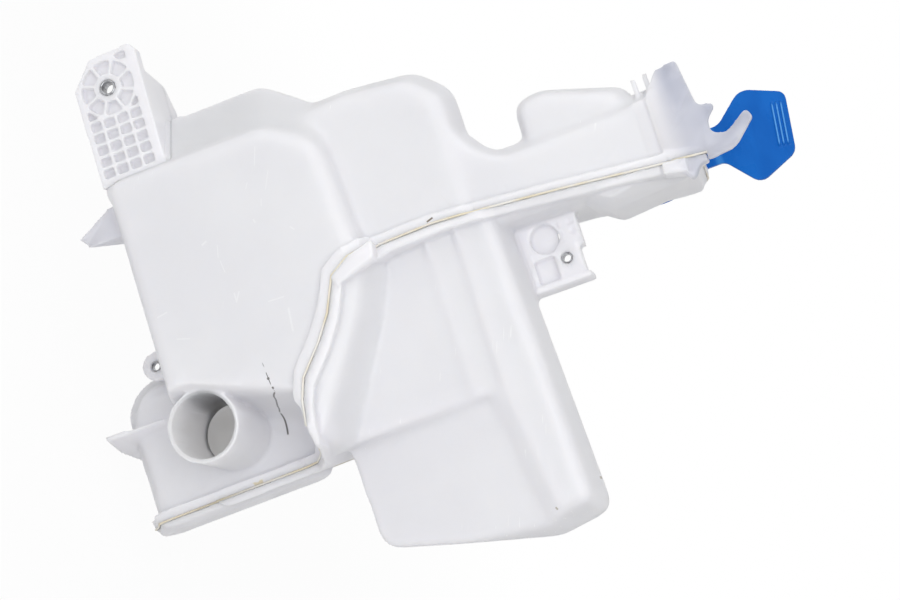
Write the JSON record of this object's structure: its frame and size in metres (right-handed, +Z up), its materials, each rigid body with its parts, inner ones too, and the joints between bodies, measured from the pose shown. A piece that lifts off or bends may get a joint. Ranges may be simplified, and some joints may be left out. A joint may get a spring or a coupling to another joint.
{
  "type": "washer fluid reservoir",
  "caption": "Moulded washer fluid tank with a welded flange, ribbed bolt bracket, open pump port, side filler neck and a hinged cap with a pull tab.",
  "frame": {"origin": "centre of the bracket bush's bore, on the bracket's front face", "axes": "+Z up along the filler neck, +X to the right seen from the front, +Y to the back, where the filler mouth faces; the bolts go in along +Y"},
  "size_m": [0.3302, 0.1355, 0.4144],
  "materials": {
    "tank": "translucent natural polyethylene, satin as moulded",
    "bush": "plain steel sleeve",
    "cap": "blue moulded, semi-gloss"
  },
  "bodies": {
    "tank": {"upper_half": "tank", "lower_half": "tank", "bracket_bush": "bush", "left_bush": "bush", "right_bush": "bush", "cap_ring": "cap"},
    "lid": {"cap_lid": "cap"}
  },
  "joints": [
    {"name": "cap_hinge", "type": "hinge", "parent": "tank", "child": "lid", "pos_m": [0.119, 0.0801, 0.23], "axis": [-1, 0, 0], "range_deg": [0, 115]}
  ]
}
